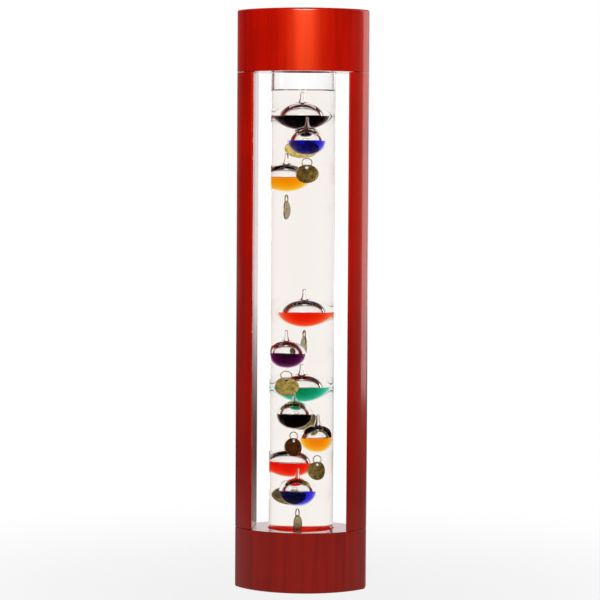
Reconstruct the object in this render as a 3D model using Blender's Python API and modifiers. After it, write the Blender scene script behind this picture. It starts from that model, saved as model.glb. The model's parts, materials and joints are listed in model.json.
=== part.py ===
"""Galileo thermometer: ten glass floats in a tube of clear liquid, held in a lacquered wooden frame.

Units are metres, +Z is up and the front faces -Y. The origin is the centre of the underside of the base.
"""
import math

import bmesh
import bpy
from mathutils import Matrix, Vector

MM = 0.001
GAP = 0.3 * MM                    # air left between touching pieces

# Wooden frame. Seen from above, the cap, base and posts share one outline: two shallow arcs, front and
# back, that end in narrow flat sides.
FRAME_HEIGHT = 440 * MM
CAP_HEIGHT = 47 * MM
BASE_HEIGHT = 46 * MM
HALF_WIDTH = 50 * MM
HALF_DEPTH = 32 * MM
SIDE_HALF_DEPTH = 5 * MM          # half the width of each flat side
WINDOW_HALF_WIDTH = 36 * MM
OUTLINE_STEPS = 40                # straight pieces in each full arc
POST_STEPS = 12                   # straight pieces in a post's share of an arc
EDGE_ROUND = 1.6 * MM             # rounding of the outermost edges
SEAM_ROUND = 0.3                  # share of that rounding at the glued seams

# Dowels that pin each post to the cap and to the base.
DOWEL_RADIUS = 3 * MM
DOWEL_LENGTH = 24 * MM
DOWEL_X = 41.5 * MM
DOWEL_Y = 6.5 * MM
DOWEL_SIDES = 12

# Glass tube and the foam that cushions its ends.
TUBE_RADIUS = 24.5 * MM
TUBE_WALL = 2 * MM
TUBE_FLOOR = 3 * MM
TUBE_DOME_HEIGHT = 9 * MM
TUBE_SIDES = 36
BORE_RADIUS = 25.2 * MM
BASE_BORE_DEPTH = 16 * MM
CAP_BORE_DEPTH = 32 * MM
FOAM_THICKNESS = 2 * MM
NECK_RADIUS = 3.2 * MM            # sealed filling neck on top of the tube
NECK_BORE = 2.2 * MM
NECK_HEIGHT = 4 * MM

# Each float: a blown glass bulb with a sealed stem on top and a glass eye below.
BULB_RADIUS = 10.75 * MM
BULB_WALL = 0.8 * MM
BULB_SIDES = 14
BULB_RINGS = 7
STEM_RADIUS = 1.2 * MM
STEM_BORE = 0.5 * MM
STEM_TOP = 19 * MM                # above the bulb's centre
EYE_RADIUS = 1.7 * MM             # of the centre line of the eye's glass
EYE_WIRE = 0.5 * MM
EYE_CENTRE = -12.4 * MM
FILL_HEIGHT = 0.5 * MM            # liquid level above the bulb's centre
FILL_GAP = 0.5 * MM               # the liquid stays clear of the glass, whose flat facets cut inwards

# The brass ring through the eye, and the brass tag on the ring.
RING_RADIUS = 3.1 * MM
RING_WIRE = 0.35 * MM
TAG_RADIUS = 7 * MM
TAG_THICKNESS = 0.6 * MM
TAG_HOLE_RADIUS = 1 * MM
TAG_RIM = 1 * MM                  # brass left between the hole and the tag's edge
HANG_SLACK = 0.25 * MM            # air between a wire and what it hangs on

# Float number: colour of its liquid, height of its centre, its place in the tube, and the turn of its
# tag away from the front. Neighbours lean to opposite sides of the tube, and so overlap in height.
FLOATS = {
    1: ("black", 359.1, (-1.4, 11.2), 0),
    2: ("blue", 340.5, (2.4, -2.8), 35),
    3: ("orange", 312.7, (-7.9, 8), 75),
    4: ("coral", 210, (0, 11.3), -75),
    5: ("purple", 179.3, (-8.2, -1.5), 8),
    6: ("teal", 152.9, (-1, 11.3), 0),
    7: ("black", 133.5, (-3.8, -5.5), -45),
    8: ("amber", 115.5, (10, -4.5), -25),
    9: ("red", 95.5, (-5.7, 9.2), 0),
    10: ("blue", 74.8, (-1.6, -4), 75),
}

COLOURS = {
    "lacquer": ((0.55, 0.022, 0.008, 1), 0.18, 0),
    "dowel": ((0.62, 0.42, 0.24, 1), 0.6, 0),
    "glass": ((0.85, 0.92, 0.92, 1), 0.03, 0),
    "foam": ((0.75, 0.74, 0.70, 1), 0.9, 0),
    "brass": ((0.62, 0.48, 0.16, 1), 0.3, 1),
    "black": ((0.012, 0.008, 0.014, 1), 0.08, 0),
    "blue": ((0.01, 0.06, 0.65, 1), 0.08, 0),
    "orange": ((0.9, 0.28, 0.01, 1), 0.08, 0),
    "coral": ((0.8, 0.05, 0.01, 1), 0.08, 0),
    "purple": ((0.06, 0.005, 0.08, 1), 0.08, 0),
    "teal": ((0.005, 0.22, 0.14, 1), 0.08, 0),
    "amber": ((0.85, 0.22, 0.01, 1), 0.08, 0),
    "red": ((0.65, 0.02, 0.008, 1), 0.08, 0),
}

OUTLINE_RISE = HALF_DEPTH - SIDE_HALF_DEPTH
OUTLINE_RADIUS = (HALF_WIDTH ** 2 + OUTLINE_RISE ** 2) / (2 * OUTLINE_RISE)
BASE_BORE_FLOOR = BASE_HEIGHT - BASE_BORE_DEPTH
CAP_UNDERSIDE = FRAME_HEIGHT - CAP_HEIGHT
CAP_BORE_CEILING = CAP_UNDERSIDE + CAP_BORE_DEPTH
TUBE_BOTTOM = BASE_BORE_FLOOR + FOAM_THICKNESS + 2 * GAP
TUBE_SHOULDER = CAP_UNDERSIDE + 10 * MM
TUBE_CROWN = TUBE_SHOULDER + TUBE_DOME_HEIGHT


# Scene and materials

def clear_scene():
    for old in list(bpy.data.objects):
        bpy.data.objects.remove(old, do_unlink=True)


def make_collection(name):
    collection = bpy.data.collections.new(name)
    bpy.context.scene.collection.children.link(collection)
    return collection


def make_material(name, colour_name):
    colour, roughness, metallic = COLOURS[colour_name]
    material = bpy.data.materials.new(name)
    material.use_nodes = True
    shader = material.node_tree.nodes["Principled BSDF"]
    shader.inputs["Base Color"].default_value = colour
    shader.inputs["Roughness"].default_value = roughness
    shader.inputs["Metallic"].default_value = metallic
    return material


def add_part(name, mesh, colour_name, location=(0, 0, 0), turn=0.0, parent=None):
    """Put a mesh in the parts collection as a sub-part with a material of its own."""
    part = bpy.data.objects.new(name, mesh)
    parts.objects.link(part)
    if not mesh.materials:
        mesh.materials.append(None)
    part.material_slots[0].link = "OBJECT"
    part.material_slots[0].material = make_material(name, colour_name)
    part.location = location
    part.rotation_euler.z = turn
    part.parent = parent
    return part


def add_cutter(name, mesh, location=(0, 0, 0)):
    cutter = bpy.data.objects.new(name, mesh)
    cutters.objects.link(cutter)
    cutter.location = location
    cutter.hide_render = True
    cutter.display_type = "WIRE"
    return cutter


# Shapes

def take_mesh(work):
    """Read the evaluated mesh of a working object, then remove the object."""
    graph = bpy.context.evaluated_depsgraph_get()
    graph.update()
    mesh = bpy.data.meshes.new_from_object(work.evaluated_get(graph))
    mesh.name = work.name
    bpy.data.objects.remove(work, do_unlink=True)
    return mesh


def weld_slab(mesh):
    """Join a slab's loose caps to its wall, and make each flat cap a single face."""
    shape = bmesh.new()
    shape.from_mesh(mesh)
    bmesh.ops.remove_doubles(shape, verts=shape.verts, dist=0.01 * MM)
    bmesh.ops.dissolve_limit(shape, angle_limit=math.radians(0.5), verts=shape.verts, edges=shape.edges)
    shape.to_mesh(mesh)
    shape.free()


def shade_round(mesh, sharp_degrees=35):
    mesh.shade_smooth()
    mesh.set_sharp_from_angle(angle=math.radians(sharp_degrees))


def slab_mesh(name, outline, thickness):
    """A flat outline given thickness, with its underside at zero."""
    curve = bpy.data.curves.new(name, "CURVE")
    curve.dimensions = "2D"
    curve.fill_mode = "BOTH"
    curve.extrude = thickness / 2
    spline = curve.splines.new("POLY")
    spline.points.add(len(outline) - 1)
    for point, (x, y) in zip(spline.points, outline):
        point.co = (x, y, 0, 1)
    spline.use_cyclic_u = True
    work = bpy.data.objects.new(name, curve)
    parts.objects.link(work)
    mesh = take_mesh(work)
    bpy.data.curves.remove(curve)
    weld_slab(mesh)
    mesh.transform(Matrix.Translation((0, 0, thickness / 2)))
    return mesh


def turned_mesh(name, profile, sides):
    """A profile of (radius, height) points turned about the Z axis."""
    mesh = bpy.data.meshes.new(name)
    points = [(radius, 0, height) for radius, height in profile]
    edges = [(i, i + 1) for i in range(len(points) - 1)]
    mesh.from_pydata(points, edges, [])
    work = bpy.data.objects.new(name, mesh)
    parts.objects.link(work)
    screw = work.modifiers.new("Turn", "SCREW")
    screw.axis = "Z"
    screw.steps = sides
    screw.render_steps = sides
    screw.use_merge_vertices = True
    screw.merge_threshold = 0.00001
    turned = take_mesh(work)
    bpy.data.meshes.remove(mesh)
    turned.name = name
    shade_round(turned)
    return turned


def rod_mesh(name, radius, length, sides):
    """An upright cylinder with its underside at zero."""
    shape = bmesh.new()
    bmesh.ops.create_cone(shape, cap_ends=True, segments=sides, radius1=radius, radius2=radius, depth=length)
    bmesh.ops.translate(shape, verts=shape.verts, vec=(0, 0, length / 2))
    mesh = bpy.data.meshes.new(name)
    shape.to_mesh(mesh)
    shape.free()
    shade_round(mesh)
    return mesh


def torus_mesh(name, radius, wire, steps, wire_sides, centre, axis):
    """A round ring whose hole points along the X or Y axis."""
    bpy.ops.mesh.primitive_torus_add(
        major_radius=radius, minor_radius=wire, major_segments=steps, minor_segments=wire_sides)
    work = bpy.context.object
    mesh = work.data
    mesh.name = name
    bpy.data.objects.remove(work, do_unlink=True)
    mesh.transform(Matrix.Translation(centre) @ Matrix.Rotation(math.pi / 2, 4, axis))
    shade_round(mesh, 60)
    return mesh


def cut(part, cutter):
    boolean = part.modifiers.new("Cut " + cutter.name, "BOOLEAN")
    boolean.operation = "DIFFERENCE"
    boolean.solver = "EXACT"
    boolean.object = cutter


def round_edges(part, width, weight_of_edge):
    """Bevel each edge by its weight, which the function gives from the edge's two ends."""
    mesh = part.data
    weights = mesh.attributes.new("bevel_weight_edge", "FLOAT", "EDGE")
    for edge in mesh.edges:
        ends = [mesh.vertices[i].co for i in edge.vertices]
        weights.data[edge.index].value = weight_of_edge(*ends)
    bevel = part.modifiers.new("Rounded edges", "BEVEL")
    bevel.limit_method = "WEIGHT"
    bevel.width = width
    bevel.segments = 2


# Frame

def outline_half_depth(x):
    """Half the frame's depth at a distance x from its middle: a circular arc."""
    return math.sqrt(OUTLINE_RADIUS ** 2 - x ** 2) - (OUTLINE_RADIUS - HALF_DEPTH)


def outline_between(left, right, steps):
    """The frame's outline from one x to another, counter-clockwise, in equal steps along x's angle."""
    start = math.asin(left / OUTLINE_RADIUS)
    sweep = math.asin(right / OUTLINE_RADIUS) - start
    xs = [OUTLINE_RADIUS * math.sin(start + sweep * i / steps) for i in range(steps + 1)]
    front = [(x, -outline_half_depth(x)) for x in xs]
    back = [(x, outline_half_depth(x)) for x in reversed(xs)]
    return front + back


def end_block_weight(outer_z):
    """Full rounding at a block's outer face, and a little at the face where the posts are glued."""
    def weight(start, end):
        if abs(start.z - end.z) > GAP:
            return 0.0
        return 1.0 if abs(start.z - outer_z) < GAP else SEAM_ROUND
    return weight


def dowel_places():
    return [(side * DOWEL_X, face * DOWEL_Y) for side in (-1, 1) for face in (-1, 1)]


def dowel_cutters(name, middle_z):
    """Four drill holes, one for each dowel at this height, a little wider and longer than the dowels."""
    length = DOWEL_LENGTH + 2 * GAP
    mesh = rod_mesh(name, DOWEL_RADIUS + GAP, length, DOWEL_SIDES)
    return [
        add_cutter(f"{name}_{number}", mesh, (x, y, middle_z - length / 2))
        for number, (x, y) in enumerate(dowel_places(), 1)]


def build_end_block(name, bottom, height, bore_z, drill_holes, outer_is_top):
    mesh = slab_mesh(name, outline_between(-HALF_WIDTH, HALF_WIDTH, OUTLINE_STEPS), height)
    block = add_part(name, mesh, "lacquer", (0, 0, bottom))
    outer_z, inner_z = (height, 0) if outer_is_top else (0, height)
    round_edges(block, EDGE_ROUND, end_block_weight(outer_z))
    bore_length = abs(bore_z - (bottom + inner_z)) + GAP
    bore_bottom = bottom - GAP if outer_is_top else bore_z
    bore = add_cutter(name + "_bore", rod_mesh(name + "_bore", BORE_RADIUS, bore_length, TUBE_SIDES),
                      (0, 0, bore_bottom))
    for cutter in [bore] + drill_holes:
        cut(block, cutter)
    shade_round(mesh)


def build_post(name, side, drill_holes):
    inner, outer = sorted((side * WINDOW_HALF_WIDTH, side * HALF_WIDTH))
    height = CAP_UNDERSIDE - BASE_HEIGHT - 2 * GAP
    mesh = slab_mesh(name, outline_between(inner, outer, POST_STEPS), height)
    post = add_part(name, mesh, "lacquer", (0, 0, BASE_HEIGHT + GAP))
    for cutter in drill_holes:
        if cutter.location.x * side > 0:
            cut(post, cutter)
    shade_round(mesh)


def build_dowels(where, middle_z):
    mesh = rod_mesh("dowel", DOWEL_RADIUS, DOWEL_LENGTH, DOWEL_SIDES)
    for number, (x, y) in enumerate(dowel_places(), 1):
        add_part(f"{where}_dowel_{number}", mesh, "dowel", (x, y, middle_z - DOWEL_LENGTH / 2))


def build_frame():
    top_holes = dowel_cutters("top_drill_hole", CAP_UNDERSIDE)
    base_holes = dowel_cutters("base_drill_hole", BASE_HEIGHT)
    build_end_block("top_cap", CAP_UNDERSIDE, CAP_HEIGHT, CAP_BORE_CEILING, top_holes, outer_is_top=True)
    build_end_block("base", 0, BASE_HEIGHT, BASE_BORE_FLOOR, base_holes, outer_is_top=False)
    build_post("left_post", -1, top_holes + base_holes)
    build_post("right_post", 1, top_holes + base_holes)
    build_dowels("top", CAP_UNDERSIDE)
    build_dowels("base", BASE_HEIGHT)


# Tube

def dome(radius, height, hole, steps):
    """Points down a quarter ellipse from the edge of a hole on top to the full radius."""
    start = math.asin(hole / radius)
    angles = [start + (math.pi / 2 - start) * i / steps for i in range(steps + 1)]
    return [(radius * math.sin(a), height * math.cos(a)) for a in angles]


def build_tube():
    """A glass tube with a flat foot, a domed crown and a short filling neck."""
    inner_radius = TUBE_RADIUS - TUBE_WALL
    neck_top = TUBE_CROWN + NECK_HEIGHT
    outside = [(r, TUBE_SHOULDER + z) for r, z in dome(TUBE_RADIUS, TUBE_DOME_HEIGHT, NECK_RADIUS, 4)]
    inside = [(r, TUBE_SHOULDER + z)
              for r, z in dome(inner_radius, TUBE_DOME_HEIGHT - TUBE_WALL, NECK_BORE, 4)]
    floor_top = TUBE_BOTTOM + TUBE_FLOOR
    foot_round = TUBE_WALL
    profile = [(0, floor_top), (inner_radius - foot_round, floor_top), (inner_radius, floor_top + foot_round)]
    profile += list(reversed(inside))
    profile += [(NECK_BORE, neck_top), (NECK_RADIUS, neck_top)]
    profile += outside
    profile += [(TUBE_RADIUS, TUBE_BOTTOM + foot_round), (TUBE_RADIUS - foot_round, TUBE_BOTTOM),
                (0, TUBE_BOTTOM)]
    add_part("glass_tube", turned_mesh("glass_tube", profile, TUBE_SIDES), "glass")
    build_tube_seal(neck_top)


def build_tube_seal(neck_top):
    """The bead of glass that closes the filling neck."""
    bead = NECK_RADIUS
    plug = NECK_BORE - GAP
    top = neck_top + GAP
    profile = [(0, top + 0.8 * bead), (0.6 * bead, top + 0.65 * bead), (bead, top + 0.2 * bead), (bead, top),
               (plug, top), (plug, top - NECK_HEIGHT), (0, top - NECK_HEIGHT)]
    add_part("tube_seal", turned_mesh("tube_seal", profile, 16), "glass")


def build_foam():
    """A foam disc under the tube's foot, and a foam ring between its shoulder and the cap."""
    disc = rod_mesh("foot_foam", TUBE_RADIUS, FOAM_THICKNESS, TUBE_SIDES // 2)
    add_part("foot_foam", disc, "foam", (0, 0, BASE_BORE_FLOOR + GAP))
    hole = 3 * NECK_RADIUS
    bottom = TUBE_CROWN + GAP
    top = CAP_BORE_CEILING - GAP
    profile = [(hole, top), (TUBE_RADIUS, top), (TUBE_RADIUS, bottom), (hole, bottom), (hole, top)]
    add_part("crown_foam", turned_mesh("crown_foam", profile, TUBE_SIDES // 2), "foam")


# Floats

def arc_points(radius, start, end, steps):
    """Points on a circle in the profile plane, by angle up from the floor of the bulb."""
    angles = [start + (end - start) * i / steps for i in range(steps + 1)]
    return [(radius * math.sin(a), -radius * math.cos(a)) for a in angles]


def bulb_mesh():
    """Hollow bulb with an open stem, and an eye of glass rod fused under it."""
    inner_radius = BULB_RADIUS - BULB_WALL
    inside = arc_points(inner_radius, 0, math.pi - math.asin(STEM_BORE / inner_radius), BULB_RINGS)
    outside = arc_points(BULB_RADIUS, math.pi - math.asin(1.4 * STEM_RADIUS / BULB_RADIUS), 0, BULB_RINGS)
    stem = [(STEM_BORE, STEM_TOP), (0.8 * STEM_RADIUS, STEM_TOP), (STEM_RADIUS, BULB_RADIUS + STEM_RADIUS)]
    bulb = add_part("bulb_blank", turned_mesh("bulb", inside + stem + outside, BULB_SIDES), "glass")
    eye = torus_mesh("eye", EYE_RADIUS, EYE_WIRE, 10, 5, (0, 0, EYE_CENTRE), "X")
    fused = bulb.modifiers.new("Fuse eye", "BOOLEAN")
    fused.operation = "UNION"
    fused.solver = "EXACT"
    fused.object = add_cutter("eye_blank", eye)
    mesh = take_mesh(bulb)
    shade_round(mesh, 50)
    return mesh


def liquid_mesh():
    """The liquid in the lower part of a bulb, with a level surface."""
    radius = BULB_RADIUS - BULB_WALL - FILL_GAP
    edge_angle = math.pi / 2 + math.asin(FILL_HEIGHT / radius)
    profile = [(0, FILL_HEIGHT)] + arc_points(radius, edge_angle, 0, BULB_RINGS - 2)
    return turned_mesh("liquid", profile, BULB_SIDES)


def ring_centre():
    """Height of the ring's centre under the bulb's centre, with the ring hanging in the eye."""
    eye_inside_bottom = EYE_CENTRE - EYE_RADIUS + EYE_WIRE
    return eye_inside_bottom + HANG_SLACK + RING_WIRE - RING_RADIUS


def tag_centre():
    """Height of the tag's centre under the bulb's centre, with the tag hanging on the ring."""
    hole = ring_centre() - RING_RADIUS + RING_WIRE + HANG_SLACK - TAG_HOLE_RADIUS
    return hole + TAG_HOLE_RADIUS + TAG_RIM - TAG_RADIUS


def tag_mesh():
    """A round brass disc that faces Y, with a hole near its top edge."""
    upright = Matrix.Rotation(math.pi / 2, 4, "X")
    disc = rod_mesh("tag", TAG_RADIUS, TAG_THICKNESS, 24)
    disc.transform(upright @ Matrix.Translation((0, 0, -TAG_THICKNESS / 2)))
    hole = rod_mesh("tag_hole", TAG_HOLE_RADIUS, 4 * TAG_THICKNESS, 8)
    hole.transform(upright @ Matrix.Translation((0, 0, -2 * TAG_THICKNESS)))
    tag = add_part("tag_blank", disc, "brass")
    hole_height = TAG_RADIUS - TAG_RIM - TAG_HOLE_RADIUS
    cut(tag, add_cutter("tag_hole", hole, (0, 0, hole_height)))
    mesh = take_mesh(tag)
    shade_round(mesh)
    return mesh


def build_floats():
    bulb = bulb_mesh()
    liquid = liquid_mesh()
    tag = tag_mesh()
    ring = torus_mesh("ring", RING_RADIUS, RING_WIRE, 14, 4, (0, 0, 0), "Y")
    pivot_height = EYE_CENTRE - EYE_RADIUS
    for number, (colour, height, place, turn) in FLOATS.items():
        name = f"float_{number:02d}"
        centre = Vector((place[0] * MM, place[1] * MM, height * MM))
        body = add_part(name + "_bulb", bulb, "glass", centre, math.radians(turn))
        add_part(name + "_liquid", liquid, colour, parent=body)
        swing = bpy.data.objects.new(name + "_swing", None)
        parts.objects.link(swing)
        swing.parent = body
        swing.location.z = pivot_height
        add_part(name + "_ring", ring, "brass", (0, 0, ring_centre() - pivot_height), parent=swing)
        add_part(name + "_tag", tag, "brass", (0, 0, tag_centre() - pivot_height), parent=swing)


clear_scene()
parts = make_collection("galileo_thermometer")
cutters = make_collection("cutters")
build_frame()
build_tube()
build_foam()
build_floats()
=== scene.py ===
import json
import math

import bmesh
import bpy
from mathutils import Matrix, Vector


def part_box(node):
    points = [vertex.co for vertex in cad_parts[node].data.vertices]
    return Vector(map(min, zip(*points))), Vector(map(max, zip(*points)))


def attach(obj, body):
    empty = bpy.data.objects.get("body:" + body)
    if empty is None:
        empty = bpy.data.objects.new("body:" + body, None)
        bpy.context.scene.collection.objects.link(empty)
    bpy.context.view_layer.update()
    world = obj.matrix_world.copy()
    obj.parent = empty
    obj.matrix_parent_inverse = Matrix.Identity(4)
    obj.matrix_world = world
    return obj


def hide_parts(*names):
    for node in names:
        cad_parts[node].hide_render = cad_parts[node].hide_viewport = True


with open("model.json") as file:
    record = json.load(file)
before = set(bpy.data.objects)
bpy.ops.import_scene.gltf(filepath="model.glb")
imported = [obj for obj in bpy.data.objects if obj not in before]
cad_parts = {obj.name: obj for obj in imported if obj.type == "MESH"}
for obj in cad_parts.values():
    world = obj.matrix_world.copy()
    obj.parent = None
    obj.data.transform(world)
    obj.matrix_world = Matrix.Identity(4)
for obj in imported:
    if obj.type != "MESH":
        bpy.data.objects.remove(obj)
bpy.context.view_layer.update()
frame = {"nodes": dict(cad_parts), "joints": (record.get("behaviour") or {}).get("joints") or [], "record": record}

MM = 0.001
GAP = 0.3 * MM                      # air between touching wooden pieces, as in the CAD

# Wooden frame
SIDE_HALF_DEPTH = 5 * MM            # half the width of each flat side
CORNER_ROUND = 3 * MM               # upright edges beside the flat sides
POST_CORNER_ROUND = 1 * MM          # upright edges beside the window
EDGE_ROUND = 1.6 * MM               # top edge of the cap, bottom edge of the base
SEAM_ROUND = 0.25 * MM              # edges at the glued seams
SUPPORT = 0.3 * MM                  # width of the narrow faces that keep flat surfaces flat in shading
ARC_STEPS = 72
ROUND_STEPS = 5
BORE_RADIUS = 25.2 * MM

# Glass tube and its liquid
TUBE_WALL = 2 * MM
TUBE_FLOOR = 3 * MM
TUBE_DOME_HEIGHT = 9 * MM
NECK_RADIUS = 3.2 * MM
NECK_BORE = 2.2 * MM
NECK_HEIGHT = 4 * MM
TUBE_SIDES = 144
LIQUID_SURFACE = 378.5 * MM
MENISCUS = 0.9 * MM                 # how far the liquid climbs the glass
LIQUID_CLEARANCE = 0.05 * MM        # a liquid's mesh stays this far inside the glass that holds it

# Floats
BULB_WALL = 0.5 * MM
BULB_SIDES = 64
STEM_TOP = 19 * MM                  # above the bulb's centre
EYE_RADIUS = 1.7 * MM
EYE_WIRE = 0.5 * MM
EYE_CENTRE = -12.4 * MM
FILL_HEIGHT = 0.5 * MM              # coloured liquid's level above the bulb's centre
RING_WIRE = 0.32 * MM
DYED_MENISCUS = 0.35 * MM           # how far a coloured liquid climbs its bulb
BLOWN_WAVINESS = 0.12               # of the bulbs' glass
FLOAT_COUNT = 10

# Brass tags
TAG_PLATE = 0.44 * MM               # thickness of the disc between its raised details
TAG_RAISED = 0.07 * MM
TAG_RIM_WIDTH = 0.7 * MM
TAG_CHAMFER = 0.12 * MM             # slope at each side of the raised rim
TAG_HOLE_RADIUS = 1.2 * MM
TAG_HOLE_INSET = 2 * MM             # from the tag's edge to the hole's centre
NUMERAL_SIZE = 6.2 * MM
NUMERAL_DROP = 0.8 * MM             # below the tag's centre, clear of the hole
NUMERAL_SINK = 0.02 * MM            # depth of the figures' foot in the plate
HIGHEST_TEMPERATURE = 30            # of the top float, in degrees Celsius; each lower float is 2 less
TEMPERATURE_STEP = 2

# Refractive indices
GLASS_INDEX = 1.475
CLEAR_LIQUID_INDEX = 1.46
DYED_LIQUID_INDEX = 1.40
BULB_IN_LIQUID_INDEX = 1.03         # a bulb's glass over the clear liquid
BULB_WETTED_INDEX = 1.02            # a bulb's glass over the coloured liquid

# The clear liquid's colour, and how strongly it takes light
CLEAR_TINT = (0.80, 0.62, 0.48, 1)
CLEAR_DENSITY = 7
TUBE_SHINE = 0.3                    # share of the mirror reflections that the tube keeps

# Camera, in metres from the object's upright axis and in degrees
CAMERA_DISTANCE = 1.807
CAMERA_HEIGHT = 0.319
CAMERA_AZIMUTH = 5.1                # towards the right, where the post's flat side comes into view
CAMERA_PITCH = -3.13
CAMERA_YAW_TRIM = 0.05
CAMERA_ROLL = 0.34
FIELD_OF_VIEW = 14.4


# Measures read from the CAD

def box_centre(node):
    low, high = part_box(node)
    return (low + high) / 2


base_low, base_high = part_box("base")
cap_low, cap_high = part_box("top_cap")
tube_low, tube_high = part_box("glass_tube")
HALF_WIDTH = base_high.x
HALF_DEPTH = base_high.y
WINDOW_HALF_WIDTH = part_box("right_post")[0].x
BASE_BORE_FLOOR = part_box("foot_foam")[0].z - GAP
CAP_BORE_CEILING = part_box("crown_foam")[1].z + GAP
TUBE_RADIUS = tube_high.x
RISE = HALF_DEPTH - SIDE_HALF_DEPTH
ARC_RADIUS = (HALF_WIDTH ** 2 + RISE ** 2) / (2 * RISE)
ARC_OFFSET = ARC_RADIUS - HALF_DEPTH
SLOT_OF_NODE = {part["node"]: part["material_slot"] for part in frame["record"]["subparts"]}


# Node materials

def fill(tree, node, inputs):
    """Fill a node's inputs with plain values or with other nodes' outputs."""
    for key, value in inputs.items():
        if isinstance(value, bpy.types.NodeSocket):
            tree.links.new(value, node.inputs[key])
        else:
            node.inputs[key].default_value = value


def add_node(tree, kind, inputs=None, **settings):
    node = tree.nodes.new("ShaderNode" + kind)
    for key, value in settings.items():
        setattr(node, key, value)
    fill(tree, node, inputs or {})
    return node


def new_material(name):
    material = bpy.data.materials.new(name)
    material.use_nodes = True
    return material, material.node_tree, material.node_tree.nodes["Principled BSDF"]


def object_noise(tree, scale, stretch=(1, 1, 1), detail=4, roughness=0.5):
    """Noise fixed to the object, stretched along its axes."""
    place = add_node(tree, "TexCoord").outputs["Object"]
    mapping = add_node(tree, "Mapping", {"Vector": place, "Scale": stretch})
    noise = add_node(tree, "TexNoise", {
        "Vector": mapping.outputs["Vector"], "Scale": scale, "Detail": detail, "Roughness": roughness})
    return noise.outputs["Fac"]


def ramp(tree, factor, stops):
    """Colours spread over a factor; stops are (position, colour) pairs."""
    node = add_node(tree, "ValToRGB", {"Fac": factor})
    elements = node.color_ramp.elements
    while len(elements) < len(stops):
        elements.new(0.5)
    for element, (position, colour) in zip(elements, stops):
        element.position = position
        element.color = (*colour, 1)
    return node.outputs["Color"]


def spread(tree, factor, low, high, start=0.0, end=1.0, **settings):
    """A factor from start to end turned into a value from low to high."""
    node = add_node(tree, "MapRange", {
        "Value": factor, "From Min": start, "From Max": end, "To Min": low, "To Max": high}, **settings)
    return node.outputs["Result"]


def combine(tree, operation, first, second=0.0):
    return add_node(tree, "Math", {0: first, 1: second}, operation=operation).outputs[0]


def multiply_colours(tree, first, second):
    node = add_node(tree, "VectorMath", {0: first, 1: second}, operation="MULTIPLY")
    return node.outputs["Vector"]


def bump(tree, height, strength, distance):
    node = add_node(tree, "Bump", {"Height": height, "Strength": strength, "Distance": distance})
    return node.outputs["Normal"]


def lacquer_material():
    """Cherry-red lacquer over straight-grained wood: the grain shows as faint upright streaks."""
    material, tree, shader = new_material("lacquered_wood")
    grain = object_noise(tree, 1, (260, 260, 9), detail=7, roughness=0.6)
    cloud = object_noise(tree, 22, detail=3)
    pores = object_noise(tree, 1, (1500, 1500, 60), detail=2)
    streaks = ramp(tree, grain, [(0.25, (0.36, 0.003, 0.0006)), (0.5, (0.52, 0.0045, 0.0008)),
                                 (0.75, (0.62, 0.007, 0.001))])
    patches = ramp(tree, cloud, [(0.3, (0.78, 0.78, 0.78)), (0.7, (1, 1, 1))])
    fill(tree, shader, {
        "Base Color": multiply_colours(tree, streaks, patches),
        "Roughness": spread(tree, pores, 0.28, 0.42),
        "Normal": bump(tree, grain, 0.12, 0.2 * MM),
        "Specular IOR Level": 1.0,
        "Specular Tint": (1, 0.12, 0.02, 1),
        "Coat Weight": 1,
        "Coat Roughness": 0.09,
        "Coat IOR": 1.45,
        "Coat Normal": bump(tree, cloud, 0.05, 0.5 * MM),
    })
    return material


def bare_wood_material():
    material, tree, shader = new_material("bare_wood")
    grain = object_noise(tree, 1, (900, 900, 40), detail=6)
    fill(tree, shader, {
        "Base Color": ramp(tree, grain, [(0.3, (0.42, 0.25, 0.12)), (0.7, (0.68, 0.46, 0.26))]),
        "Roughness": spread(tree, grain, 0.55, 0.75),
        "Normal": bump(tree, grain, 0.3, 0.1 * MM),
    })
    return material


def foam_material():
    material, tree, shader = new_material("foam")
    cells = object_noise(tree, 1600, detail=2)
    fill(tree, shader, {
        "Base Color": ramp(tree, cells, [(0.35, (0.5, 0.49, 0.46)), (0.65, (0.78, 0.77, 0.73))]),
        "Roughness": spread(tree, cells, 0.85, 0.98),
        "Normal": bump(tree, cells, 0.7, 0.3 * MM),
    })
    return material


def metal_material(name, bright, dull):
    """Thin metal with patches of tarnish and fine scratches."""
    material, tree, shader = new_material(name)
    tarnish = object_noise(tree, 420, detail=5, roughness=0.65)
    scratches = object_noise(tree, 1, (6000, 900, 2500), detail=2)
    fill(tree, shader, {
        "Base Color": ramp(tree, tarnish, [(0.35, dull), (0.62, bright)]),
        "Metallic": 1,
        "Roughness": spread(tree, tarnish, 0.42, 0.2),
        "Normal": bump(tree, scratches, 0.25, 0.05 * MM),
    })
    return material


def glass_material(name, index, colour=(1, 1, 1, 1), waviness=0.0, shine=1.0):
    """Clear glass or a liquid's surface; the index is that of the inside over that of the outside."""
    material, tree, shader = new_material(name)
    fill(tree, shader, {"Base Color": colour, "Transmission Weight": 1, "Roughness": 0, "IOR": index,
                        "Specular Tint": (shine, shine, shine, 1)})
    if waviness:
        swell = object_noise(tree, 130, detail=1)
        fill(tree, shader, {"Normal": bump(tree, swell, waviness, 0.4 * MM)})
    return material


def add_absorption(material, colour, density):
    tree = material.node_tree
    absorption = add_node(tree, "VolumeAbsorption", {"Color": colour, "Density": density})
    tree.links.new(absorption.outputs["Volume"], tree.nodes["Material Output"].inputs["Volume"])


def unseen_material(name, colour, density):
    """A liquid's side where it wets the glass: light passes unbent, and only the body of liquid tints it."""
    material = bpy.data.materials.new(name)
    material.use_nodes = True
    tree = material.node_tree
    tree.nodes.remove(tree.nodes["Principled BSDF"])
    clear = add_node(tree, "BsdfTransparent")
    tree.links.new(clear.outputs["BSDF"], tree.nodes["Material Output"].inputs["Surface"])
    add_absorption(material, colour, density)
    return material


# Shapes

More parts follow.
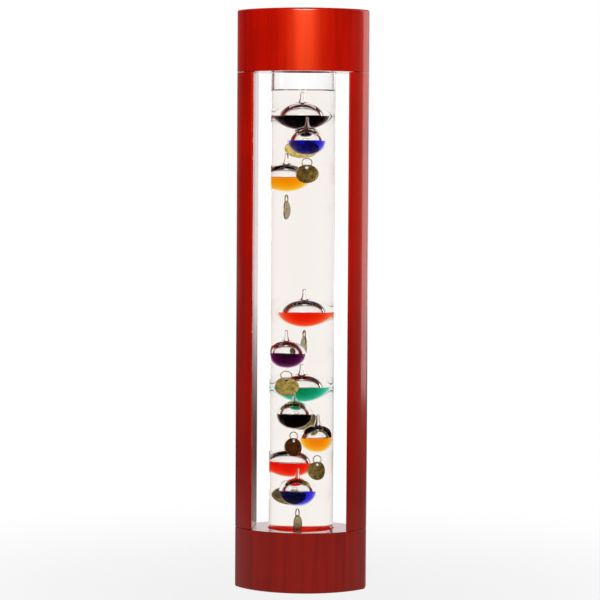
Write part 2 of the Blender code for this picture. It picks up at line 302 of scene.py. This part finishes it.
def finish_mesh(name, shape, sharp_degrees=35):
    """Turn a bmesh into a smooth-shaded mesh with its strong edges kept sharp."""
    mesh = bpy.data.meshes.new(name)
    shape.to_mesh(mesh)
    shape.free()
    mesh.shade_smooth()
    mesh.set_sharp_from_angle(angle=math.radians(sharp_degrees))
    return mesh


def add_piece(name, mesh, body, materials, replaced=()):
    """Put a mesh in the scene, on its CAD body, in place of CAD nodes."""
    piece = bpy.data.objects.new(name, mesh)
    bpy.context.scene.collection.objects.link(piece)
    for material in materials:
        mesh.materials.append(material)
    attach(piece, body)
    if replaced:
        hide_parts(*replaced)
    return piece


def loft(rings):
    """Join rings of equally many points into a closed shape with flat ends."""
    shape = bmesh.new()
    made = [[shape.verts.new(point) for point in ring] for ring in rings]
    count = len(rings[0])
    for lower, upper in zip(made, made[1:]):
        for i in range(count):
            j = (i + 1) % count
            shape.faces.new((lower[i], lower[j], upper[j], upper[i]))
    shape.faces.new(list(reversed(made[0])))
    shape.faces.new(made[-1])
    bmesh.ops.recalc_face_normals(shape, faces=shape.faces)
    return shape


def lathe(profile, sides, zones=None):
    """Turn a profile of (radius, height) points about Z; zones give each stretch a material number.

    The profile starts and ends on the axis.
    """
    shape = bmesh.new()
    rings = []
    for radius, height in profile:
        if radius < 1e-9:
            rings.append([shape.verts.new((0, 0, height))])
        else:
            angles = [2 * math.pi * i / sides for i in range(sides)]
            around = [(radius * math.cos(a), radius * math.sin(a), height) for a in angles]
            rings.append([shape.verts.new(point) for point in around])
    for number, (start, end) in enumerate(zip(rings, rings[1:])):
        for i in range(sides):
            j = (i + 1) % sides
            corners = [start[i % len(start)], start[j % len(start)], end[j % len(end)], end[i % len(end)]]
            face = shape.faces.new(list(dict.fromkeys(corners)))
            face.material_index = zones[number] if zones else 0
    bmesh.ops.recalc_face_normals(shape, faces=shape.faces)
    return shape


def quarter(centre, radius, start, end, steps):
    """Points (across, up) on a circle, by angle in degrees from straight across."""
    angles = [math.radians(start + (end - start) * i / steps) for i in range(steps + 1)]
    return [(centre[0] + radius * math.cos(a), centre[1] + radius * math.sin(a)) for a in angles]


def cut_mesh(piece, cutter_mesh):
    """Cut one shape out of a piece for good."""
    cutter = bpy.data.objects.new("cutter", cutter_mesh)
    bpy.context.scene.collection.objects.link(cutter)
    boolean = piece.modifiers.new("Cut", "BOOLEAN")
    boolean.operation = "DIFFERENCE"
    boolean.solver = "EXACT"
    boolean.object = cutter
    graph = bpy.context.evaluated_depsgraph_get()
    graph.update()
    mesh = bpy.data.meshes.new_from_object(piece.evaluated_get(graph))
    piece.modifiers.clear()
    piece.data = mesh
    bpy.data.objects.remove(cutter)
    mesh.set_sharp_from_angle(angle=math.radians(35))


def rods(places, radius, length, sides=32):
    """Upright rods in one mesh, each centred at a place."""
    shape = bmesh.new()
    for place in places:
        bmesh.ops.create_cone(shape, cap_ends=True, segments=sides, radius1=radius, radius2=radius,
                              depth=length, matrix=Matrix.Translation(place))
    return finish_mesh("rods", shape)


# Wooden frame

def corner_centre(x, round_radius):
    """Centre of a small round that meets an upright line and the front arc, and the angle where they meet."""
    reach = ARC_RADIUS - round_radius
    return math.sqrt(reach ** 2 - x ** 2) - ARC_OFFSET, math.asin(x / reach)


def trace(arcs, inset):
    """Points along joined arcs (centre, radius, first angle, last angle, steps), moved inwards by inset."""
    points = []
    for (x, y), radius, start, end, steps in arcs:
        for i in range(steps + 1):
            angle = start + (end - start) * i / steps
            point = Vector((x + (radius - inset) * math.sin(angle), y - (radius - inset) * math.cos(angle)))
            if not points or (point - points[-1]).length > 1e-6:
                points.append(point)
    if (points[0] - points[-1]).length < 1e-6:
        points.pop()
    return points


def block_arcs():
    """Outline of the cap and the base: two shallow arcs with rounded corners at the flat sides."""
    x = HALF_WIDTH - CORNER_ROUND
    y, meet = corner_centre(x, CORNER_ROUND)
    half, full = math.pi / 2, math.pi
    return [
        ((0, ARC_OFFSET), ARC_RADIUS, -meet, meet, ARC_STEPS),
        ((x, -y), CORNER_ROUND, meet, half, ROUND_STEPS),
        ((x, y), CORNER_ROUND, half, full - meet, ROUND_STEPS),
        ((0, -ARC_OFFSET), ARC_RADIUS, full - meet, full + meet, ARC_STEPS),
        ((-x, y), CORNER_ROUND, full + meet, full + half, ROUND_STEPS),
        ((-x, -y), CORNER_ROUND, full + half, 2 * full - meet, ROUND_STEPS),
    ]


def post_arcs():
    """Outline of the right post."""
    outer_x = HALF_WIDTH - CORNER_ROUND
    outer_y, outer_meet = corner_centre(outer_x, CORNER_ROUND)
    inner_x = WINDOW_HALF_WIDTH + POST_CORNER_ROUND
    inner_y, inner_meet = corner_centre(inner_x, POST_CORNER_ROUND)
    half, full = math.pi / 2, math.pi
    steps = ARC_STEPS // 6
    return [
        ((0, ARC_OFFSET), ARC_RADIUS, inner_meet, outer_meet, steps),
        ((outer_x, -outer_y), CORNER_ROUND, outer_meet, half, ROUND_STEPS),
        ((outer_x, outer_y), CORNER_ROUND, half, full - outer_meet, ROUND_STEPS),
        ((0, -ARC_OFFSET), ARC_RADIUS, full - outer_meet, full - inner_meet, steps),
        ((inner_x, inner_y), POST_CORNER_ROUND, full - inner_meet, full + half, ROUND_STEPS),
        ((inner_x, -inner_y), POST_CORNER_ROUND, full + half, 2 * full + inner_meet, ROUND_STEPS),
    ]


def rounded_edge(radius, level, inwards):
    """(inset, height) pairs over a rounded edge, from the flat face at a level to the upright wall."""
    steps = [math.pi / 2 * i / ROUND_STEPS for i in range(ROUND_STEPS + 1)]
    curve = [(radius * (1 - math.sin(a)), level + inwards * radius * (1 - math.cos(a))) for a in steps]
    return [(radius + SUPPORT, level)] + curve + [(0, level + inwards * (radius + SUPPORT))]


def outline_rings(arcs, levels):
    return [[(p.x, p.y, z) for p in trace(arcs, inset)] for inset, z in levels]


def bore_rings(outline, mouth, end):
    """Rings down a round bore, from its slightly rounded mouth to its end."""
    towards = 1 if end > mouth else -1
    angles = [math.atan2(p[1], p[0]) for p in outline]
    levels = [(BORE_RADIUS + SUPPORT, mouth), (BORE_RADIUS, mouth + towards * SUPPORT), (BORE_RADIUS, end)]
    rings = []
    for radius, z in levels:
        rings.append([(radius * math.cos(a), radius * math.sin(a), z) for a in angles])
    return rings


def build_end_block(name, outer, inner, bore_end, material):
    """The cap or the base: well rounded at its outer face, bored from its inner face."""
    inwards = 1 if inner > outer else -1
    levels = rounded_edge(EDGE_ROUND, outer, inwards)
    levels += list(reversed(rounded_edge(SEAM_ROUND, inner, -inwards)))
    rings = outline_rings(block_arcs(), levels)
    rings += bore_rings(rings[-1], inner, bore_end)
    mesh = finish_mesh(name, loft(rings))
    return add_piece(name + "_lacquered", mesh, "root", [material], [name])


def build_post(name, side, material):
    low, high = (corner.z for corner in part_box(name))
    levels = rounded_edge(SEAM_ROUND, low, 1) + list(reversed(rounded_edge(SEAM_ROUND, high, -1)))
    rings = outline_rings(post_arcs(), levels)
    shape = loft([[(side * x, y, z) for x, y, z in ring] for ring in rings])
    mesh = finish_mesh(name, shape)
    return add_piece(name + "_lacquered", mesh, "root", [material], [name])


def build_frame():
    lacquer = lacquer_material()
    wood = bare_wood_material()
    blocks = [
        build_end_block("top_cap", cap_high.z, cap_low.z, CAP_BORE_CEILING, lacquer),
        build_end_block("base", base_low.z, base_high.z, BASE_BORE_FLOOR, lacquer),
        build_post("left_post", -1, lacquer),
        build_post("right_post", 1, lacquer),
    ]
    dowels = [name for name in frame["nodes"] if "dowel" in name]
    low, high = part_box(dowels[0])
    holes = rods([box_centre(name) for name in dowels], (high.x - low.x) / 2 + GAP, high.z - low.z + 2 * GAP)
    for block in blocks:
        cut_mesh(block, holes)
    for name in dowels:
        frame["nodes"][name].data.materials.clear()
        frame["nodes"][name].data.materials.append(wood)


# Tube, its liquid and the foam

def build_tube():
    """A tube with a flat foot and a domed crown, its inside in two zones: wetted and dry."""
    outer_face, wetted, dry = 0, 1, 2
    inner_radius = TUBE_RADIUS - TUBE_WALL
    bottom = tube_low.z
    floor_top = bottom + TUBE_FLOOR
    neck_top = tube_high.z
    crown = neck_top - NECK_HEIGHT
    shoulder = crown - TUBE_DOME_HEIGHT
    steps = 12
    inside_angle = math.acos(NECK_BORE / inner_radius)
    inside_dome = [(inner_radius * math.cos(a), shoulder + (TUBE_DOME_HEIGHT - TUBE_WALL) * math.sin(a))
                   for a in (inside_angle * i / steps for i in range(steps + 1))]
    outside_angle = math.acos(NECK_RADIUS / TUBE_RADIUS)
    outside_dome = [(TUBE_RADIUS * math.cos(a), shoulder + TUBE_DOME_HEIGHT * math.sin(a))
                    for a in (outside_angle * (steps - i) / steps for i in range(steps + 1))]
    foot = TUBE_WALL
    inside_low = [(0, floor_top)] + quarter((inner_radius - foot, floor_top + foot), foot, -90, 0, 6)
    wet_line = LIQUID_SURFACE + MENISCUS
    inside = inside_low + [(inner_radius, wet_line)] + inside_dome + [(NECK_BORE, neck_top)]
    outside = [(NECK_RADIUS, neck_top)] + outside_dome
    outside += quarter((TUBE_RADIUS - foot, bottom + foot), foot, 0, -90, 6) + [(0, bottom)]
    profile = inside + outside
    zones = []
    for number in range(len(profile) - 1):
        if number >= len(inside) - 1:
            zones.append(outer_face)
        else:
            zones.append(wetted if profile[number][1] < wet_line - 1e-6 else dry)
    mesh = finish_mesh("tube", lathe(profile, TUBE_SIDES, zones))
    materials = [
        glass_material("tube_glass", GLASS_INDEX, (0.995, 0.995, 0.99, 1), waviness=0.02, shine=TUBE_SHINE),
        glass_material("tube_glass_wetted", GLASS_INDEX / CLEAR_LIQUID_INDEX),
        glass_material("tube_glass_dry", GLASS_INDEX, shine=TUBE_SHINE),
    ]
    tube = add_piece("tube_glass", mesh, "root", materials, ["glass_tube"])
    build_seal(materials[0])
    return tube


def build_seal(glass):
    low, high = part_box("tube_seal")
    plug = NECK_BORE - GAP
    bead = NECK_RADIUS
    shoulder = low.z + NECK_HEIGHT
    top = [(bead * math.cos(a), shoulder + (high.z - shoulder) * math.sin(a))
           for a in (math.pi / 2 * i / 10 for i in range(11))]
    profile = [(0, low.z), (plug, low.z), (plug, shoulder)] + top[:-1] + [(0, high.z)]
    mesh = finish_mesh("seal", lathe(profile, 48))
    add_piece("seal_glass", mesh, "root", [glass], ["tube_seal"])


def build_clear_liquid():
    """The liquid that the floats swim in, with a meniscus at the glass."""
    surface, wetted = 0, 1
    radius = TUBE_RADIUS - TUBE_WALL - LIQUID_CLEARANCE
    bottom = tube_low.z + TUBE_FLOOR + LIQUID_CLEARANCE
    foot = TUBE_WALL
    climb = [(radius - 4 * MENISCUS * (1 - t), LIQUID_SURFACE + MENISCUS * t ** 3)
             for t in (i / 10 for i in range(11))]
    side = quarter((radius - foot, bottom + foot), foot, 0, -90, 6) + [(0, bottom)]
    profile = [(0, LIQUID_SURFACE)] + climb + side
    zones = [surface] * len(climb) + [wetted] * len(side)
    mesh = finish_mesh("clear_liquid", lathe(profile, TUBE_SIDES, zones))
    top = glass_material("clear_liquid_surface", CLEAR_LIQUID_INDEX)
    add_absorption(top, CLEAR_TINT, CLEAR_DENSITY)
    materials = [top, unseen_material("clear_liquid_side", CLEAR_TINT, CLEAR_DENSITY)]
    return add_piece("clear_liquid", mesh, "root", materials)


def dress_foam():
    foam = foam_material()
    for name in ("foot_foam", "crown_foam"):
        frame["nodes"][name].data.materials.clear()
        frame["nodes"][name].data.materials.append(foam)


# Floats

LIQUID_COLOURS = {
    "black_liquid": ((0.20, 0.04, 0.08, 1), 450),
    "blue_liquid": ((0.04, 0.05, 0.92, 1), 270),
    "orange_liquid": ((0.99, 0.81, 0.03, 1), 340),
    "coral_liquid": ((0.98, 0.34, 0.03, 1), 360),
    "purple_liquid": ((0.50, 0.03, 0.45, 1), 400),
    "teal_liquid": ((0.03, 0.78, 0.64, 1), 340),
    "amber_liquid": ((0.99, 0.78, 0.03, 1), 340),
    "red_liquid": ((0.97, 0.28, 0.03, 1), 380),
}


def bulb_profile(radius):
    """Outer and inner halves of a blown bulb: sphere, drawn neck, and a stem melted shut at the top."""
    outer_neck_angle, inner_neck_angle = 76, 79
    sphere = quarter((0, 0), radius, -90, outer_neck_angle, 36)
    neck = [(2.0 * MM, radius + 0.5 * MM), (1.65 * MM, radius + 1.5 * MM), (1.4 * MM, radius + 2.8 * MM),
            (1.2 * MM, radius + 4.0 * MM), (1.15 * MM, STEM_TOP - 1.6 * MM),
            (1.05 * MM, STEM_TOP - 0.8 * MM), (0.65 * MM, STEM_TOP - 0.2 * MM)]
    outside = [(0.0, -radius)] + sphere[1:] + neck + [(0, STEM_TOP)]
    inner = radius - BULB_WALL
    bore = [(1.5 * MM, radius + 0.6 * MM), (1.2 * MM, radius + 1.6 * MM), (1.0 * MM, radius + 2.8 * MM),
            (0.85 * MM, radius + 4.0 * MM), (0.85 * MM, STEM_TOP - 1.6 * MM),
            (0.6 * MM, STEM_TOP - 0.9 * MM), (0, STEM_TOP - 0.6 * MM)]
    wet_angle = math.degrees(math.asin(FILL_HEIGHT / inner))
    wet = [(0.0, -inner)] + quarter((0, 0), inner, -90, wet_angle, 20)[1:]
    dry = quarter((0, 0), inner, wet_angle, inner_neck_angle, 18)[1:] + bore
    return outside, wet, dry


def bulb_mesh(radius):
    """A hollow bulb in three zones: its outside in the clear liquid, its wetted inside and its dry inside."""
    wetted_zone, dry_zone = 1, 2
    outside, wet, dry = bulb_profile(radius)
    shape = lathe(outside, BULB_SIDES)
    inside = lathe(wet + dry, BULB_SIDES, [wetted_zone] * (len(wet) - 1) + [dry_zone] * len(dry))
    bmesh.ops.reverse_faces(inside, faces=inside.faces)
    hollow = bpy.data.meshes.new("hollow")
    inside.to_mesh(hollow)
    inside.free()
    shape.from_mesh(hollow)
    bpy.data.meshes.remove(hollow)
    return finish_mesh("bulb", shape, 60)


def dyed_liquid_mesh(radius):
    """A bulb's liquid with a small meniscus."""
    surface, wetted = 0, 1
    inner = radius - BULB_WALL - LIQUID_CLEARANCE
    edge_angle = math.degrees(math.asin((FILL_HEIGHT + DYED_MENISCUS) / inner))
    edge = inner * math.cos(math.radians(edge_angle))
    top = [(edge - 4 * DYED_MENISCUS * (1 - t), FILL_HEIGHT + DYED_MENISCUS * t ** 3)
           for t in (i / 6 for i in range(7))]
    side = quarter((0, 0), inner, edge_angle, -90, 24)[1:]
    profile = [(0, FILL_HEIGHT)] + top + side[:-1] + [(0, -inner)]
    zones = [surface] * len(top) + [wetted] * len(side)
    return finish_mesh("dyed_liquid", lathe(profile, BULB_SIDES, zones), 60)


def torus_mesh(name, radius, wire, steps, wire_sides):
    """A ring round the Y axis."""
    shape = bmesh.new()
    rings = []
    around = [2 * math.pi * k / wire_sides for k in range(wire_sides)]
    for i in range(steps):
        a = 2 * math.pi * i / steps
        out = Vector((math.cos(a), 0, math.sin(a)))
        points = [out * (radius + wire * math.cos(b)) + Vector((0, wire * math.sin(b), 0)) for b in around]
        rings.append([shape.verts.new(point) for point in points])
    for i in range(steps):
        here, there = rings[i], rings[(i + 1) % steps]
        for k in range(wire_sides):
            m = (k + 1) % wire_sides
            shape.faces.new((here[k], here[m], there[m], there[k]))
    bmesh.ops.recalc_face_normals(shape, faces=shape.faces)
    return finish_mesh(name, shape, 80)


def tag_blank_mesh(radius):
    """A disc with a raised rim on both faces, turned to face Y, with the hole it hangs from."""
    half, raised = TAG_PLATE / 2, TAG_PLATE / 2 + TAG_RAISED
    inner_rim = radius - TAG_RIM_WIDTH
    rim = [(inner_rim - TAG_CHAMFER, half), (inner_rim, raised),
           (radius - TAG_CHAMFER, raised), (radius, half)]
    profile = [(0, half)] + rim + [(r, -z) for r, z in reversed(rim)] + [(0, -half)]
    shape = lathe(profile, 64)
    bmesh.ops.rotate(shape, verts=shape.verts, cent=(0, 0, 0), matrix=Matrix.Rotation(math.pi / 2, 3, "X"))
    piece = bpy.data.objects.new("tag_blank", finish_mesh("tag_blank", shape, 25))
    bpy.context.scene.collection.objects.link(piece)
    hole = rods([(0, 0, 0)], TAG_HOLE_RADIUS, 4 * TAG_PLATE, 24)
    hole.transform(Matrix.Translation((0, 0, radius - TAG_HOLE_INSET)) @ Matrix.Rotation(math.pi / 2, 4, "X"))
    cut_mesh(piece, hole)
    mesh = piece.data
    bpy.data.objects.remove(piece)
    return mesh


def numeral_mesh(text):
    """Raised figures in the XZ plane, centred and facing the front."""
    curve = bpy.data.curves.new("numerals", "FONT")
    curve.body = text
    curve.size = NUMERAL_SIZE
    curve.align_x = "CENTER"
    curve.align_y = "CENTER"
    curve.extrude = TAG_RAISED / 2 + NUMERAL_SINK
    curve.offset = 0.08 * MM        # thickens the strokes
    curve.resolution_u = 4
    work = bpy.data.objects.new("numerals", curve)
    bpy.context.scene.collection.objects.link(work)
    graph = bpy.context.evaluated_depsgraph_get()
    graph.update()
    mesh = bpy.data.meshes.new_from_object(work.evaluated_get(graph))
    bpy.data.objects.remove(work)
    bpy.data.curves.remove(curve)
    mesh.transform(Matrix.Rotation(math.pi / 2, 4, "X"))
    return mesh


def tag_mesh(blank, text):
    """A tag with its temperature on both faces."""
    shape = bmesh.new()
    shape.from_mesh(blank)
    numerals = numeral_mesh(text)
    out = TAG_PLATE / 2 + TAG_RAISED / 2 - NUMERAL_SINK
    for turn in (0, math.pi):
        side = numerals.copy()
        side.transform(Matrix.Rotation(turn, 4, "Z") @ Matrix.Translation((0, -out, -NUMERAL_DROP)))
        shape.from_mesh(side)
        bpy.data.meshes.remove(side)
    bpy.data.meshes.remove(numerals)
    return finish_mesh("tag", shape, 25)


def placed(mesh, place, turn=0.0):
    moved = mesh.copy()
    moved.transform(Matrix.Translation(place) @ Matrix.Rotation(turn, 4, "Z"))
    return moved


def tag_turn(number):
    """How far the tag is turned from the front, from its hinge's axis."""
    joint = next(j for j in frame["joints"] if j["name"] == f"float_{number:02d}_tag_swing")
    return math.atan2(-joint["axis"][0], joint["axis"][1])


def build_float(name, centre, turn, bulb, dyed, eye, glass):
    """A bulb, its eye and its liquid, which all ride on the float's own body."""
    slot_name = SLOT_OF_NODE[name + "_liquid"]
    liquids = dyed_materials(slot_name)
    pieces = [
        add_piece(name + "_blown_bulb", placed(bulb, centre), name, glass, [name + "_bulb"]),
        add_piece(name + "_eye", placed(eye, centre, turn), name, glass[:1]),
        add_piece(name + "_dyed_liquid", placed(dyed, centre), name, liquids, [name + "_liquid"]),
    ]
    for piece in pieces:
        piece.visible_shadow = False


def build_pendant(name, turn, ring, tag, wire, brass):
    """The ring and the tag, which swing together on the eye."""
    pendant = name + "_pendant"
    ring_mesh = placed(ring, box_centre(name + "_ring"), turn)
    stamped_mesh = placed(tag, box_centre(name + "_tag"), turn)
    add_piece(name + "_wire_ring", ring_mesh, pendant, [wire], [name + "_ring"])
    add_piece(name + "_stamped_tag", stamped_mesh, pendant, [brass], [name + "_tag"])


def build_floats():
    low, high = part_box("float_01_bulb")
    radius = (high.x - low.x) / 2
    bulb = bulb_mesh(radius)
    dyed = dyed_liquid_mesh(radius)
    eye = torus_mesh("eye", EYE_RADIUS, EYE_WIRE, 32, 12)
    eye.transform(Matrix.Translation((0, 0, EYE_CENTRE)) @ Matrix.Rotation(math.pi / 2, 4, "Z"))
    ring_low, ring_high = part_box("float_01_ring")
    ring = torus_mesh("ring", (ring_high.z - ring_low.z) / 2 - RING_WIRE, RING_WIRE, 48, 12)
    tag_low, tag_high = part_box("float_01_tag")
    blank = tag_blank_mesh((tag_high.z - tag_low.z) / 2)
    glass = [
        glass_material("bulb_glass", BULB_IN_LIQUID_INDEX, waviness=BLOWN_WAVINESS),
        glass_material("bulb_glass_wetted", BULB_WETTED_INDEX),
        glass_material("bulb_glass_dry", GLASS_INDEX, waviness=BLOWN_WAVINESS),
    ]
    brass = metal_material("brass", (0.40, 0.30, 0.08), (0.10, 0.075, 0.02))
    wire = metal_material("ring_wire", (0.5, 0.42, 0.24), (0.18, 0.14, 0.07))
    for number in range(1, FLOAT_COUNT + 1):
        name = f"float_{number:02d}"
        centre = box_centre(name + "_bulb")
        centre.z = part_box(name + "_bulb")[1].z - STEM_TOP
        turn = tag_turn(number)
        temperature = HIGHEST_TEMPERATURE - TEMPERATURE_STEP * (number - 1)
        build_float(name, centre, turn, bulb, dyed, eye, glass)
        build_pendant(name, turn, ring, tag_mesh(blank, f"{temperature}°"), wire, brass)


def dyed_materials(slot_name):
    """Surface and side of a dyed liquid; floats with the same colour share them."""
    found = bpy.data.materials.get(slot_name + "_surface")
    if found:
        return [found, bpy.data.materials[slot_name + "_side"]]
    colour, density = LIQUID_COLOURS[slot_name]
    surface = glass_material(slot_name + "_surface", DYED_LIQUID_INDEX)
    add_absorption(surface, colour, density)
    return [surface, unseen_material(slot_name + "_side", colour, density)]


# Studio

def aim(thing, target):
    thing.rotation_euler = (Vector(target) - thing.location).to_track_quat("-Z", "Y").to_euler()


def add_softbox(name, place, target, width, height, power):
    light = bpy.data.lights.new(name, "AREA")
    light.shape = "RECTANGLE"
    light.size = width
    light.size_y = height
    light.energy = power
    lamp = bpy.data.objects.new(name, light)
    bpy.context.scene.collection.objects.link(lamp)
    lamp.location = place
    aim(lamp, target)
    lamp.visible_camera = False
    return lamp


def build_world():
    """White to the camera; bright in front and behind through glass, dim at the sides, above and below."""
    world = bpy.data.worlds.new("studio")
    bpy.context.scene.world = world
    world.use_nodes = True
    tree = world.node_tree
    background = tree.nodes["Background"]
    direction = add_node(tree, "SeparateXYZ", {"Vector": add_node(tree, "TexCoord").outputs["Generated"]})
    towards_back = direction.outputs["Y"]
    path = add_node(tree, "LightPath").outputs
    behind = spread(tree, towards_back, 0.0, 1.0, 0.35, 0.75)
    along = spread(tree, combine(tree, "ABSOLUTE", towards_back), 0.05, 1.0, 0.45, 0.7)
    through_glass = combine(tree, "MULTIPLY", path["Is Transmission Ray"], along)
    direct = combine(tree, "MAXIMUM", path["Is Camera Ray"], through_glass)
    soft = combine(tree, "MULTIPLY", path["Is Diffuse Ray"], 0.1)
    mirrored = combine(tree, "MULTIPLY", path["Is Glossy Ray"], behind)
    strength = combine(tree, "MAXIMUM", direct, combine(tree, "MAXIMUM", soft, mirrored))
    fill(tree, background, {"Color": (1, 1, 1, 1), "Strength": strength})


def build_floor():
    """A pale floor that fades into the white background; it lights the object less than it shows."""
    shape = bmesh.new()
    bmesh.ops.create_circle(shape, cap_ends=True, segments=96, radius=6)
    floor = bpy.data.objects.new("floor", finish_mesh("floor", shape))
    bpy.context.scene.collection.objects.link(floor)
    material, tree, shader = new_material("pale_floor")
    fill(tree, shader, {"Base Color": (0.86, 0.86, 0.86, 1), "Roughness": 0.7, "Specular IOR Level": 0.1})
    place = add_node(tree, "TexCoord").outputs["Object"]
    across = add_node(tree, "SeparateXYZ", {"Vector": place}).outputs["Y"]
    distance = add_node(tree, "VectorMath", {0: place}, operation="LENGTH").outputs["Value"]
    fade = spread(tree, distance, 0.85, 1.0, 0.05, 0.5, interpolation_type="SMOOTHSTEP")
    front = spread(tree, distance, 0.3, 0.06, 0.25, 0.8)
    rear = spread(tree, across, 0.0, 1.0, 1.0, 4.0)
    path = add_node(tree, "LightPath").outputs
    seen = combine(tree, "MAXIMUM", path["Is Camera Ray"], path["Is Transmission Ray"])
    strength = combine(tree, "MAXIMUM", combine(tree, "MAXIMUM", front, rear), seen)
    glow = add_node(tree, "Emission", {"Color": (1, 1, 1, 1), "Strength": strength})
    mixed = add_node(tree, "MixShader", {0: fade, 1: shader.outputs[0], 2: glow.outputs[0]})
    tree.links.new(mixed.outputs[0], tree.nodes["Material Output"].inputs["Surface"])
    floor.data.materials.append(material)


def build_lights():
    key = add_softbox("key", (0.04, -1.3, 0.76), (0, 0, 0.43), 0.75, 0.3, 1.8)
    key.data.spread = math.radians(44)
    rim = add_softbox("right_rim", (1.5, 0.42, 0.35), (0, 0, 0.22), 0.5, 1.8, 8)
    rim.visible_diffuse = False


def build_camera():
    camera = bpy.data.objects.new("camera", bpy.data.cameras.new("camera"))
    bpy.context.scene.collection.objects.link(camera)
    azimuth = math.radians(CAMERA_AZIMUTH)
    across, back = CAMERA_DISTANCE * math.sin(azimuth), CAMERA_DISTANCE * math.cos(azimuth)
    camera.location = (across, -back, CAMERA_HEIGHT)
    turn = Matrix.Rotation(azimuth + math.radians(CAMERA_YAW_TRIM), 3, "Z")
    tilt = Matrix.Rotation(math.radians(90 + CAMERA_PITCH), 3, "X")
    roll = Matrix.Rotation(math.radians(CAMERA_ROLL), 3, "Z")
    camera.rotation_euler = (turn @ tilt @ roll).to_euler()
    camera.data.angle = math.radians(FIELD_OF_VIEW)
    camera.data.clip_start = 0.05
    bpy.context.scene.camera = camera


def set_light_paths():
    scene = bpy.context.scene
    scene.view_settings.view_transform = "Standard"
    scene.cycles.max_bounces = 32
    scene.cycles.transmission_bounces = 32
    scene.cycles.transparent_max_bounces = 64
    scene.cycles.glossy_bounces = 8
    scene.cycles.diffuse_bounces = 4
    scene.cycles.sample_clamp_indirect = 6


build_frame()
tube = build_tube()
clear_liquid = build_clear_liquid()
for see_through in (tube, clear_liquid):
    see_through.visible_shadow = False
dress_foam()
build_floats()
build_world()
build_floor()
build_lights()
build_camera()
set_light_paths()
